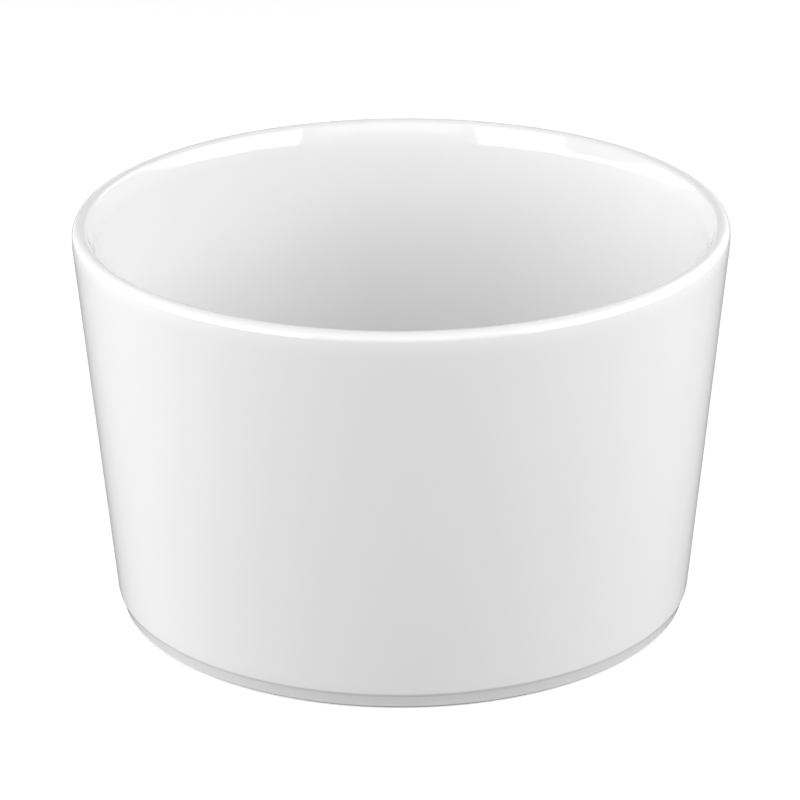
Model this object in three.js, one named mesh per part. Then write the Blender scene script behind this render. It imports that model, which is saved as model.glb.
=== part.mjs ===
// A round dessert bowl of glazed hard porcelain, standing on its foot at z = 0.
// Millimetres, +Z up. Sizes are taken over the glaze, at the section's corners before they are rounded.
import * as THREE from "three";

// Overall form
const rimDiameter = 100.2; // where the line of the wall's outside meets the rim's level
const bowlHeight = 61.3;
const wallBaseDiameter = 89.1; // outside of the straight wall, where it turns under to the foot

// Thickness of the wall and the floor, measured level
const rimThickness = 2.3; // from the line of the wall's outside
const lipHeight = 2.85; // the wall thins to the rim over this height
const lipBaseThickness = 3.15;
const easeHeight = 2.4; // the outside leans in to the rim over this height
const easeInset = 0.3; // and by this much
const wallBaseThickness = 3.6; // at the level of the inside floor
const floorThickness = 4;

// Foot ring
const footSetback = 0.25; // from the wall's lower edge in to the foot
const stepRise = 0.5; // that step slopes up to the wall by this much
const footHeight = 2.2;
const footTaper = 0.8; // the foot narrows to its sole by this much
const footRingWidth = 3.9; // at the sole
const hollowDepth = 1.5; // under the base, inside the foot ring
const bareFootHeight = 0.5; // band at the bottom of the foot that is wiped clean of glaze

// Rounding of the section's corners
const insideCornerRadius = 9;
const lipBlendRadius = 8;
const rimInsideRadius = 0.95;
const rimOutsideRadius = 1.3;
const easeBlendRadius = 12;
const wallEdgeRadius = 1;
const creaseRadius = 0.5;
const soleEdgeRadius = 0.45;
const hollowCornerRadius = 0.9;

// Glaze
const glazeThickness = 0.3;
const bondClearance = 0.02; // between the glaze and the porcelain that carries it

// Smoothness
const turnSteps = 48; // facets round the bowl
const chordError = 0.03; // most that a facet stands off a rounded corner
const leastFlat = 0.05; // straight length left on a side between two rounded corners

// Levels and radii worked out from the sizes above
const rimRadius = rimDiameter / 2;
const wallBaseRadius = wallBaseDiameter / 2;
const wallBaseLevel = footHeight + stepRise;
const footRadius = wallBaseRadius - footSetback;
const soleRadius = footRadius - footTaper;
const hollowRadius = soleRadius - footRingWidth;
const floorLevel = hollowDepth + floorThickness;
const lipLevel = bowlHeight - lipHeight;
const easeLevel = bowlHeight - easeHeight;
const soleLevel = -glazeThickness; // the glazed outline would pass this far below the bare sole

function outsideRadius(level) {
  return THREE.MathUtils.mapLinear(level, wallBaseLevel, bowlHeight, wallBaseRadius, rimRadius);
}

function corner(radius, level, rounding) {
  return { at: new THREE.Vector2(radius, level), rounding };
}

// Half section over the glaze, from the middle of the hollow under the base, round the foot,
// up the outside and over the rim to the middle of the inside floor. The material lies on its left.
const corners = [
  corner(0, hollowDepth, 0),
  corner(hollowRadius, hollowDepth, hollowCornerRadius),
  corner(hollowRadius, soleLevel, soleEdgeRadius),
  corner(soleRadius, soleLevel, soleEdgeRadius),
  corner(footRadius, footHeight, creaseRadius),
  corner(wallBaseRadius, wallBaseLevel, wallEdgeRadius),
  corner(outsideRadius(easeLevel), easeLevel, easeBlendRadius),
  corner(rimRadius - easeInset, bowlHeight, rimOutsideRadius),
  corner(rimRadius - rimThickness, bowlHeight, rimInsideRadius),
  corner(outsideRadius(lipLevel) - lipBaseThickness, lipLevel, lipBlendRadius),
  corner(outsideRadius(floorLevel) - wallBaseThickness, floorLevel, insideCornerRadius),
  corner(0, floorLevel, 0),
];

// Straight sides between the corners: direction, length and the way into the material
const sides = corners.slice(1).map((end, i) => {
  const step = end.at.clone().sub(corners[i].at);
  const along = step.clone().normalize();
  return { along, length: step.length(), inward: new THREE.Vector2(-along.y, along.x) };
});

// Signed turn at each corner: positive to the left, where the surface bulges
const turns = corners.map((_, i) => {
  const before = sides[i - 1];
  const after = sides[i];
  if (!before || !after) return 0;
  return Math.atan2(before.along.cross(after.along), before.along.dot(after.along));
});

// Length that each rounding takes from its sides, cut back where two of them share a short side
const wantedReach = corners.map(({ rounding }, i) => rounding * Math.tan(Math.abs(turns[i]) / 2));
const fitOnSide = sides.map(({ length }, i) => {
  const wanted = wantedReach[i] + wantedReach[i + 1];
  return wanted > 0 ? THREE.MathUtils.clamp((length - leastFlat) / wanted, 0, 1) : 1;
});
const roundings = corners.map(({ rounding }, i) => {
  return rounding * Math.min(fitOnSide[i - 1] ?? 1, fitOnSide[i] ?? 1);
});

// Where a corner goes when the sides beside it move into the material by depth
function insetCorner(i, depth) {
  const before = (sides[i - 1] ?? sides[i]).inward;
  const after = (sides[i] ?? sides[i - 1]).inward;
  const mitre = before.clone().add(after).divideScalar(1 + before.dot(after));
  return corners[i].at.clone().addScaledVector(mitre, depth);
}

// Points of one corner: an arc that keeps its centre at every depth
function cornerPoints(i, depth) {
  const at = insetCorner(i, depth);
  const turn = turns[i];
  const radius = roundings[i] - depth * Math.sign(turn);
  if (roundings[i] === 0 || radius <= 0) return [at];
  const before = sides[i - 1];
  const start = at.clone().addScaledVector(before.along, -radius * Math.tan(Math.abs(turn) / 2));
  const centre = start.clone().addScaledVector(before.inward, radius * Math.sign(turn));
  const widestStep = 2 * Math.acos(Math.max(0, 1 - chordError / roundings[i]));
  const steps = Math.max(2, Math.ceil(Math.abs(turn) / widestStep));
  return Array.from({ length: steps + 1 }, (_, step) => {
    return start.clone().rotateAround(centre, (turn * step) / steps);
  });
}

function section(depth) {
  return corners.flatMap((_, i) => cornerPoints(i, depth));
}

// The stretch of a section from the axis to the glaze line on the foot
function glazedStretch(points) {
  const stop = points.findIndex(({ y }) => y < bareFootHeight);
  const [above, below] = [points[stop - 1], points[stop]];
  const share = (above.y - bareFootHeight) / (above.y - below.y);
  return [...points.slice(0, stop), above.clone().lerp(below, share)];
}

// A layer between two sections that run the same way, with the layer on the first one's left
function layer(first, second) {
  return [...glazedStretch(first), ...glazedStretch(second).reverse()];
}

function turned(name, profile, material) {
  const geometry = new THREE.LatheGeometry(profile, turnSteps).rotateX(Math.PI / 2);
  const mesh = new THREE.Mesh(geometry, material);
  mesh.name = name;
  return mesh;
}

const barePorcelain = new THREE.MeshStandardMaterial({ color: 0xe8e5de, roughness: 0.6, metalness: 0 });
const whiteGlaze = new THREE.MeshStandardMaterial({ color: 0xf3f3f1, roughness: 0.1, metalness: 0 });

const surface = section(0);
const bond = section(glazeThickness - bondClearance);
const body = section(glazeThickness);

const dessertBowl = new THREE.Group();
dessertBowl.add(
  turned("porcelain_body", body, barePorcelain),
  turned("glaze_coat", layer(bond.toReversed(), surface.toReversed()), whiteGlaze),
  turned("base_glaze", layer(surface, bond), whiteGlaze),
);

export default dessertBowl;
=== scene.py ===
import math

import bmesh
import bpy
from mathutils import Matrix, Vector


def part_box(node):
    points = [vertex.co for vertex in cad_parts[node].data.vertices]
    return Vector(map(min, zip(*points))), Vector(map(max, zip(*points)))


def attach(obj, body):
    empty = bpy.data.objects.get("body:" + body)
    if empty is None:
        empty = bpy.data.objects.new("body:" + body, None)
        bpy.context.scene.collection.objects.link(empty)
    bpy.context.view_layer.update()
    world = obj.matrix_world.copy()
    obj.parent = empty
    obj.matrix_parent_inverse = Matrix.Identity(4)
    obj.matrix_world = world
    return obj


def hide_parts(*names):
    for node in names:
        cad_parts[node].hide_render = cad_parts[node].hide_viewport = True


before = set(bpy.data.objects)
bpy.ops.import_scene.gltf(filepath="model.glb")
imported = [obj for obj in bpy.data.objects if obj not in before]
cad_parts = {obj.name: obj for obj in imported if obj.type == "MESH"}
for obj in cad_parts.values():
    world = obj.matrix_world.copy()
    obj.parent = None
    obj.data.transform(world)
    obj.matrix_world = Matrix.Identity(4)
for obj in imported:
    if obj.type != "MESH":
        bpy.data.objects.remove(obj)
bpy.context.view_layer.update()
scene = bpy.context.scene
scene.view_settings.view_transform = "Standard"
mm = 0.001
coatLow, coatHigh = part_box("glaze_coat")
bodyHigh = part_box("porcelain_body")[1]
print("frame loaded,", len(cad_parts), "CAD nodes")


# the photograph's view
photoView = {
    "imageSide": 800,                 # pixels
    "pixelsPerMetre": 6480,           # at the aim point
    "distance": 636 * mm,
    "elevation": math.radians(21.85),
    "roll": math.radians(-0.33),
    "aim": Vector((-0.315, 0, 31.5)) * mm,
    "sensor": 36,                     # in millimetres, as Blender takes it
    "clipStart": 6.36 * mm,
}


def makeCamera(spec):
    lens = bpy.data.cameras.new("photoLens")
    lens.sensor_width = spec["sensor"]
    lens.lens = spec["sensor"] * spec["pixelsPerMetre"] * spec["distance"] / spec["imageSide"]
    lens.clip_start = spec["clipStart"]
    camera = bpy.data.objects.new("photoCamera", lens)
    back = Vector((0, -math.cos(spec["elevation"]), math.sin(spec["elevation"])))
    camera.location = spec["aim"] + back * spec["distance"]
    tilt = Matrix.Rotation(math.pi / 2 - spec["elevation"], 3, "X")
    camera.rotation_euler = (tilt @ Matrix.Rotation(spec["roll"], 3, "Z")).to_euler()
    scene.collection.objects.link(camera)
    scene.camera = camera


makeCamera(photoView)
print("camera placed")


# the bowl's half section, over the glaze, as in the CAD model
bowl = {
    "height": coatHigh.z,
    "rimDiameter": 100.2 * mm,        # where the wall's line meets the rim's level
    "wallBaseDiameter": 89.1 * mm,
    "rimThickness": 2.3 * mm,         # from the wall's line
    "lipHeight": 2.85 * mm,           # the wall thins to the rim over this height
    "lipBaseThickness": 3.15 * mm,
    "easeHeight": 2.4 * mm,           # the outside leans in to the rim over this height
    "easeInset": 0.3 * mm,
    "wallBaseThickness": 3.6 * mm,
    "floorThickness": 4 * mm,
    "footSetback": 0.25 * mm,         # step from the wall in to the foot
    "stepRise": 0.5 * mm,             # the step slopes up to the wall by this much
    "footHeight": 2.2 * mm,
    "footTaper": 0.8 * mm,            # the foot narrows to its sole by this much
    "footRingWidth": 3.9 * mm,        # at the sole
    "hollowDepth": 1.5 * mm,          # under the base, inside the foot ring
    "bareFootHeight": coatLow.z,      # the glaze ends this far above the sole
    "insideCornerRadius": 9 * mm,
    "lipBlendRadius": 8 * mm,
    "rimInsideRadius": 0.95 * mm,
    "rimOutsideRadius": 1.3 * mm,
    "easeBlendRadius": 12 * mm,
    "wallEdgeRadius": 1 * mm,
    "creaseRadius": 0.5 * mm,
    "soleEdgeRadius": 0.45 * mm,
    "hollowCornerRadius": 0.9 * mm,
    "glazeThickness": coatHigh.z - bodyHigh.z,
    "bondClearance": 0.02 * mm,
    "arcStep": math.radians(6),       # widest step round a corner of the section
    "leastArcSteps": 3,
    "rollSteps": 8,                   # round the edge of the glaze on the foot
    "longestRing": 1.5 * mm,          # most that two rings lie apart along the section
    "segments": 320,
    "onAxis": 0.001 * mm,             # a ring smaller than this is a single point
    "ovalness": 0.05 * mm,            # the rim of a fired bowl is never quite round
    "ovalAngle": math.radians(35),
}


# radius, level and rounding of each corner, from the hollow under the base round the foot, up the
# outside and over the rim to the inside floor
def sectionCorners(b):
    rim = b["rimDiameter"] / 2
    wallBase = b["wallBaseDiameter"] / 2
    wallFoot = b["footHeight"] + b["stepRise"]
    foot = wallBase - b["footSetback"]
    soleEdge = foot - b["footTaper"]
    hollow = soleEdge - b["footRingWidth"]
    floor = b["hollowDepth"] + b["floorThickness"]
    lip = b["height"] - b["lipHeight"]
    ease = b["height"] - b["easeHeight"]
    sole = -b["glazeThickness"]       # the glazed outline would pass below the bare sole
    flare = (rim - wallBase) / (b["height"] - wallFoot)
    easeOutside = wallBase + flare * (ease - wallFoot)
    lipInside = wallBase + flare * (lip - wallFoot) - b["lipBaseThickness"]
    floorInside = wallBase + flare * (floor - wallFoot) - b["wallBaseThickness"]
    return [
        (0, b["hollowDepth"], 0),
        (hollow, b["hollowDepth"], b["hollowCornerRadius"]),
        (hollow, sole, b["soleEdgeRadius"]),
        (soleEdge, sole, b["soleEdgeRadius"]),
        (foot, b["footHeight"], b["creaseRadius"]),
        (wallBase, wallFoot, b["wallEdgeRadius"]),
        (easeOutside, ease, b["easeBlendRadius"]),
        (rim - b["easeInset"], b["height"], b["rimOutsideRadius"]),
        (rim - b["rimThickness"], b["height"], b["rimInsideRadius"]),
        (lipInside, lip, b["lipBlendRadius"]),
        (floorInside, floor, b["insideCornerRadius"]),
        (0, floor, 0),
    ]


# points of the section with its sides moved into the material by depth and its corners rounded
def section(b, depth):
    corners = sectionCorners(b)
    places = [Vector((radius, level)) for radius, level, rounding in corners]
    ways = [(after - before).normalized() for before, after in zip(places, places[1:])]
    points = []
    for i, (place, corner) in enumerate(zip(places, corners)):
        rounding = corner[-1]
        before = ways[max(i - 1, 0)]
        after = ways[min(i, len(ways) - 1)]
        inBefore = Vector((-before.y, before.x))
        inAfter = Vector((-after.y, after.x))
        moved = place + (inBefore + inAfter) * depth / (1 + inBefore.dot(inAfter))
        turn = math.atan2(before.cross(after), before.dot(after))
        side = math.copysign(1, turn)
        radius = rounding - depth * side
        if rounding == 0 or radius <= 0:
            points.append(moved)
            continue
        start = moved - before * radius * math.tan(abs(turn) / 2)
        centre = start + inBefore * radius * side
        steps = max(b["leastArcSteps"], math.ceil(abs(turn) / b["arcStep"]))
        for step in range(steps + 1):
            points.append(centre + Matrix.Rotation(turn * step / steps, 2) @ (start - centre))
    return points


# extra points on long straight stretches, so that rings stay close
def withRings(points, longest):
    dense = [points[0]]
    for before, after in zip(points, points[1:]):
        count = max(1, math.ceil((after - before).length / longest))
        dense += [before.lerp(after, k / count) for k in range(1, count + 1)]
    return dense


# from the axis to the glaze line on the foot
def glazedStretch(points, glazeLine):
    stop = next(i for i, point in enumerate(points) if point.y < glazeLine)
    above, below = points[stop - 1], points[stop]
    return points[:stop] + [above.lerp(below, (above.y - glazeLine) / (above.y - below.y))]


# a layer of glaze between two sections, with a rounded roll where it ends on the foot
def glazeLayer(first, second, b):
    there = glazedStretch(first, b["bareFootHeight"])
    back = glazedStretch(second, b["bareFootHeight"])[::-1]
    middle = (there[-1] + back[0]) / 2
    reach = there[-1] - middle
    angles = [math.pi * k / b["rollSteps"] for k in range(1, b["rollSteps"])]
    roll = [middle + Matrix.Rotation(-math.copysign(angle, reach.x), 2) @ reach for angle in angles]
    return there + roll + back


def turnedMesh(name, profile, b):
    mesh = bmesh.new()
    rings = []
    for point in profile:
        if point.x < b["onAxis"]:
            rings.append([mesh.verts.new((0, 0, point.y))] * b["segments"])
            continue
        ring = []
        oval = b["ovalness"] * (point.y / b["height"]) ** 2 * point.x / b["rimDiameter"] * 2
        for k in range(b["segments"]):
            angle = 2 * math.pi * k / b["segments"]
            radius = point.x + oval * math.cos(2 * (angle - b["ovalAngle"]))
            ring.append(mesh.verts.new((radius * math.cos(angle), radius * math.sin(angle), point.y)))
        rings.append(ring)
    for low, high in zip(rings, rings[1:]):
        for k in range(b["segments"]):
            m = (k + 1) % b["segments"]
            around = [low[k], low[m], high[m], high[k]]
            corners = list(dict.fromkeys(around))
            if len(corners) > 2:
                mesh.faces.new(corners).smooth = True
    bmesh.ops.recalc_face_normals(mesh, faces=mesh.faces)
    data = bpy.data.meshes.new(name)
    mesh.to_mesh(data)
    mesh.free()
    piece = bpy.data.objects.new(name, data)
    scene.collection.objects.link(piece)
    return piece


surface = withRings(section(bowl, 0), bowl["longestRing"])
bond = withRings(section(bowl, bowl["glazeThickness"] - bowl["bondClearance"]), bowl["longestRing"])
core = withRings(section(bowl, bowl["glazeThickness"]), bowl["longestRing"])
porcelainBody = turnedMesh("porcelainBody", core, bowl)
glazeCoat = turnedMesh("glazeCoat", glazeLayer(bond[::-1], surface[::-1], bowl), bowl)
baseGlaze = turnedMesh("baseGlaze", glazeLayer(surface, bond, bowl), bowl)
faceCount = sum(len(piece.data.polygons) for piece in (porcelainBody, glazeCoat, baseGlaze))
print("bowl turned:", faceCount, "faces")


# sRGB hex code to the linear values that Blender takes
def linearColour(hexCode):
    parts = [int(hexCode[i:i + 2], 16) / 255 for i in (1, 3, 5)]
    return [c / 12.92 if c <= 0.04045 else ((c + 0.055) / 1.055) ** 2.4 for c in parts] + [1]


# settings are values of inputs, by name or number, and else the node's own options; a Mix node's two
# numbers are inputs 2 and 3, and its two colours 6 and 7
def addNode(tree, kind, settings, links=None):
    node = tree.nodes.new(kind)
    for name, value in settings.items():
        if isinstance(name, int) or name in node.inputs:
            node.inputs[name].default_value = value
        else:
            setattr(node, name, value)
    for name, socket in (links or {}).items():
        tree.links.new(socket, node.inputs[name])
    return node


def newMaterial(name):
    material = bpy.data.materials.new(name)
    material.use_nodes = True
    material.node_tree.nodes.clear()
    return material, material.node_tree


# clear feldspar glaze fired on white hard porcelain: bright, neutral white, mirror smooth but for a faint
# orange peel that bends the edges of reflections, a little whiter and sharper where the coat is thin
glaze = {
    "white": "#F4F4F4",
    "whiteInThickGlaze": "#EFEFEF",
    "roughness": 0.04,
    "roughnessInThickGlaze": 0.07,
    "ior": 1.5,
    "cloudSize": 30 * mm,             # the coat's thickness drifts over this length
    "cloudDetail": 3,
    "peelSize": 2.2 * mm,
    "peelDetail": 1,
    "peelHeight": 0.002 * mm,
}


def glazedHardPorcelain(g):
    material, tree = newMaterial("glazedHardPorcelain")
    place = addNode(tree, "ShaderNodeTexCoord", {}).outputs["Object"]
    cloud = addNode(tree, "ShaderNodeTexNoise", {"Scale": 1 / g["cloudSize"], "Detail": g["cloudDetail"]},
                    {"Vector": place})
    tone = addNode(tree, "ShaderNodeMix", {"data_type": "RGBA", 6: linearColour(g["white"]),
                                           7: linearColour(g["whiteInThickGlaze"])},
                   {"Factor": cloud.outputs["Fac"]})
    gloss = addNode(tree, "ShaderNodeMix", {2: g["roughness"], 3: g["roughnessInThickGlaze"]},
                    {"Factor": cloud.outputs["Fac"]})
    peel = addNode(tree, "ShaderNodeTexNoise", {"Scale": 1 / g["peelSize"], "Detail": g["peelDetail"]},
                   {"Vector": place})
    bump = addNode(tree, "ShaderNodeBump", {"Strength": 1, "Distance": g["peelHeight"]},
                   {"Height": peel.outputs["Fac"]})
    shader = addNode(tree, "ShaderNodeBsdfPrincipled", {"IOR": g["ior"]},
                     {"Base Color": tone.outputs[2], "Roughness": gloss.outputs[0],
                      "Normal": bump.outputs["Normal"]})
    addNode(tree, "ShaderNodeOutputMaterial", {}, {"Surface": shader.outputs["BSDF"]})
    return material


# the same porcelain left bare and ground flat on a turning stone: matt and a shade greyer than the glaze,
# with a fine grit and faint rings from the stone
bareFoot = {
    "colour": "#E9E8E5",
    "colourInGrit": "#DAD9D5",
    "roughness": 0.75,
    "ior": 1.5,
    "gritSize": 0.25 * mm,
    "gritDetail": 3,
    "gritHeight": 0.01 * mm,
    "ringSpacing": 0.4 * mm,
    "ringWobble": 1.5,
    "ringHeight": 0.004 * mm,
}


def groundBisquePorcelain(f):
    material, tree = newMaterial("groundBisquePorcelain")
    place = addNode(tree, "ShaderNodeTexCoord", {}).outputs["Object"]
    grit = addNode(tree, "ShaderNodeTexNoise", {"Scale": 1 / f["gritSize"], "Detail": f["gritDetail"]},
                   {"Vector": place})
    tone = addNode(tree, "ShaderNodeMix", {"data_type": "RGBA", 6: linearColour(f["colour"]),
                                           7: linearColour(f["colourInGrit"])},
                   {"Factor": grit.outputs["Fac"]})
    # the wave texture makes 20 scale / 2 pi rings to the metre
    rings = addNode(tree, "ShaderNodeTexWave",
                    {"wave_type": "RINGS", "rings_direction": "Z", "Distortion": f["ringWobble"],
                     "Scale": 2 * math.pi / 20 / f["ringSpacing"]}, {"Vector": place})
    stone = addNode(tree, "ShaderNodeBump", {"Strength": 1, "Distance": f["ringHeight"]},
                    {"Height": rings.outputs["Fac"]})
    bump = addNode(tree, "ShaderNodeBump", {"Strength": 1, "Distance": f["gritHeight"]},
                   {"Height": grit.outputs["Fac"], "Normal": stone.outputs["Normal"]})
    shader = addNode(tree, "ShaderNodeBsdfPrincipled", {"Roughness": f["roughness"], "IOR": f["ior"]},
                     {"Base Color": tone.outputs[2], "Normal": bump.outputs["Normal"]})
    addNode(tree, "ShaderNodeOutputMaterial", {}, {"Surface": shader.outputs["BSDF"]})
    return material


glazed = glazedHardPorcelain(glaze)
bare = groundBisquePorcelain(bareFoot)
finishes = [
    (porcelainBody, bare, "porcelain_body", "bare_porcelain"),
    (glazeCoat, glazed, "glaze_coat", "white_glaze"),
    (baseGlaze, glazed, "base_glaze", "white_glaze"),
]
for piece, material, node, slotName in finishes:
    piece.data.materials.append(material)
    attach(piece, "root")
    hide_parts(node)
print("pieces finished")


# matt paper under the bowl: the camera and mirror-like surfaces see it white, and to other light it is
# dark, so that it sends little light up the wall
paper = {
    "side": 6,                        # metres, as are all the lengths of the stage
    "bounceColour": "#303030",
    "cameraDiffuse": "#F0F0F0",
    "cameraGlow": 0.4,
}


# 1 for what the camera sees, itself or in a mirror-like or clear surface
def seenDirectly(tree):
    path = addNode(tree, "ShaderNodeLightPath", {})
    glossy = addNode(tree, "ShaderNodeMath", {"operation": "MAXIMUM"},
                     {0: path.outputs["Is Camera Ray"], 1: path.outputs["Is Glossy Ray"]})
    clear = addNode(tree, "ShaderNodeMath", {"operation": "MAXIMUM"},
                    {0: glossy.outputs[0], 1: path.outputs["Is Transmission Ray"]})
    return clear.outputs[0]


def paperFloor(p):
    bpy.ops.mesh.primitive_plane_add(size=p["side"])
    floor = bpy.context.object
    floor.name = "paperFloor"
    material, tree = newMaterial("mattWhitePaper")
    seen = seenDirectly(tree)
    bounce = addNode(tree, "ShaderNodeBsdfDiffuse", {"Color": linearColour(p["bounceColour"])})
    white = addNode(tree, "ShaderNodeBsdfDiffuse", {"Color": linearColour(p["cameraDiffuse"])})
    glow = addNode(tree, "ShaderNodeEmission", {"Strength": p["cameraGlow"]})
    lit = addNode(tree, "ShaderNodeAddShader", {}, {0: white.outputs[0], 1: glow.outputs[0]})
    both = addNode(tree, "ShaderNodeMixShader", {},
                   {0: seen, 1: bounce.outputs[0], 2: lit.outputs[0]})
    addNode(tree, "ShaderNodeOutputMaterial", {}, {"Surface": both.outputs[0]})
    floor.data.materials.append(material)


paperFloor(paper)


# turns a thing to the bowl; azimuth is from the camera's side, to the right
def faceBowl(thing, azimuth, elevation, distance):
    towards = Vector((math.sin(azimuth) * math.cos(elevation),
                      -math.cos(azimuth) * math.cos(elevation), math.sin(elevation)))
    thing.location = towards * distance
    thing.rotation_euler = towards.to_track_quat("Z", "Y").to_euler()


# cards seen only in the glaze, which light nothing and are painted reflections: a dark mat under the bowl,
# whose painted dark reflection makes its edges stand out on white, a grey card behind it on the left, which
# paints a grey reflection on that side of the rim, and a pale one before the upper part of the left panels,
# whose painted pale reflection narrows the highlight inside the rim on the right; angles in degrees, and
# glow 1 is white
glazeCards = {
    "darkMat": {"azimuth": 0, "elevation": 90, "distance": 0.05 * mm, "width": 1, "height": 1, "glow": 0.25},
    "rimCard": {"azimuth": -152, "elevation": 14, "distance": 0.323, "width": 0.11, "height": 0.17,
                "glow": 0.65},
    "paleCard": {"azimuth": -105, "elevation": 30.5, "distance": 0.6, "width": 0.8, "height": 0.29,
                 "glow": 0.85},
}
# the cards' own grey; with their glow it sets the shade of the reflections they paint
cardColour = "#303030"


# matt card: an even grey with no shine, plus a glow of its own though it is no lamp, which sets how light or
# dark the reflection it paints in the glaze is
def paintedReflectionCard(name, c):
    material, tree = newMaterial(name + "PaintedReflection")
    shader = addNode(tree, "ShaderNodeBsdfDiffuse", {"Color": linearColour(cardColour)})
    glow = addNode(tree, "ShaderNodeEmission", {"Strength": c["glow"]})
    both = addNode(tree, "ShaderNodeAddShader", {}, {0: shader.outputs[0], 1: glow.outputs[0]})
    addNode(tree, "ShaderNodeOutputMaterial", {}, {"Surface": both.outputs[0]})
    return material


def glazeCard(name, c):
    bpy.ops.mesh.primitive_plane_add(size=1)
    card = bpy.context.object
    card.name = name
    card.scale = (c["width"], c["height"], 1)
    faceBowl(card, math.radians(c["azimuth"]), math.radians(c["elevation"]), c["distance"])
    card.data.materials.append(paintedReflectionCard(name, c))
    # seen by glossy rays alone: the card lights nothing and casts no shadow, and only paints a reflection in
    # the glaze
    card.visible_camera = False
    card.visible_diffuse = False
    card.visible_transmission = False
    card.visible_shadow = False


for cardName, cardSpec in glazeCards.items():
    glazeCard(cardName, cardSpec)


# soft panels: upright rows round part of the bowl, whose panels meet edge to edge; the strips stay below
# its rim, so they light only the outside; from and to are azimuths in degrees, and brightness 1 is white
strip = {"distance": 0.9, "bottom": 0, "top": 0.06}
leftPanel = {"distance": 0.835, "bottom": 0.06, "top": 0.7}
rightPanel = {"distance": 0.795, "bottom": 0.198, "top": 0.717}
panelRows = {
    "leftStripFront": {**strip, "from": -85, "to": -30, "count": 2, "brightness": 8.2},
    "leftStripBack": {**strip, "from": -140, "to": -85, "count": 2, "brightness": 11.2},
    "rightStripFront": {**strip, "from": 40, "to": 95, "count": 2, "brightness": 15.4},
    "rightStripBack": {**strip, "from": 95, "to": 150, "count": 2, "brightness": 8.5},
    "leftPanelFront": {**leftPanel, "from": -85, "to": -30, "count": 2, "brightness": 3.54},
    "leftPanelMiddle": {**leftPanel, "from": -105, "to": -85, "count": 1, "brightness": 2.15},
    "leftPanelBack": {**leftPanel, "from": -140, "to": -105, "count": 2, "brightness": 1.77},
    "rightPanelFront": {**rightPanel, "from": 40, "to": 95, "count": 2, "brightness": 4.22},
    "rightPanelBack": {**rightPanel, "from": 95, "to": 150, "count": 2, "brightness": 1.98},
}
frontPanel = {"azimuth": 5, "elevation": 42, "distance": 1.1, "width": 1.06, "height": 0.6,
              "brightness": 1.43}


def softPanel(name, width, height, brightness):
    light = bpy.data.lights.new(name, "AREA")
    light.shape = "RECTANGLE"
    light.size = width
    light.size_y = height
    light.energy = brightness * math.pi * width * height
    panel = bpy.data.objects.new(name, light)
    panel.visible_camera = False
    scene.collection.objects.link(panel)
    return panel


def softPanelRow(name, p):
    step = math.radians(p["to"] - p["from"]) / p["count"]
    width = 2 * p["distance"] * math.tan(step / 2)
    height = p["top"] - p["bottom"]
    for k in range(p["count"]):
        panel = softPanel(f"{name}{k + 1}", width, height, p["brightness"])
        faceBowl(panel, math.radians(p["from"]) + (k + 0.5) * step, 0, p["distance"])
        panel.location.z = p["bottom"] + height / 2


def leaningPanel(name, p):
    panel = softPanel(name, p["width"], p["height"], p["brightness"])
    faceBowl(panel, math.radians(p["azimuth"]), math.radians(p["elevation"]), p["distance"])


for rowName, rowSpec in panelRows.items():
    softPanelRow(rowName, rowSpec)
leaningPanel("frontPanel", frontPanel)


studioColour = "#FFFFFF"


# white wherever the camera or a mirror-like surface looks, and no light of its own
def whiteWorld():
    world = bpy.data.worlds.new("whiteStudio")
    scene.world = world
    world.use_nodes = True
    tree = world.node_tree
    tree.nodes.clear()
    glow = addNode(tree, "ShaderNodeBackground", {"Color": linearColour(studioColour)},
                   {"Strength": seenDirectly(tree)})
    addNode(tree, "ShaderNodeOutputWorld", {}, {"Surface": glow.outputs[0]})


whiteWorld()
print("stage lit")
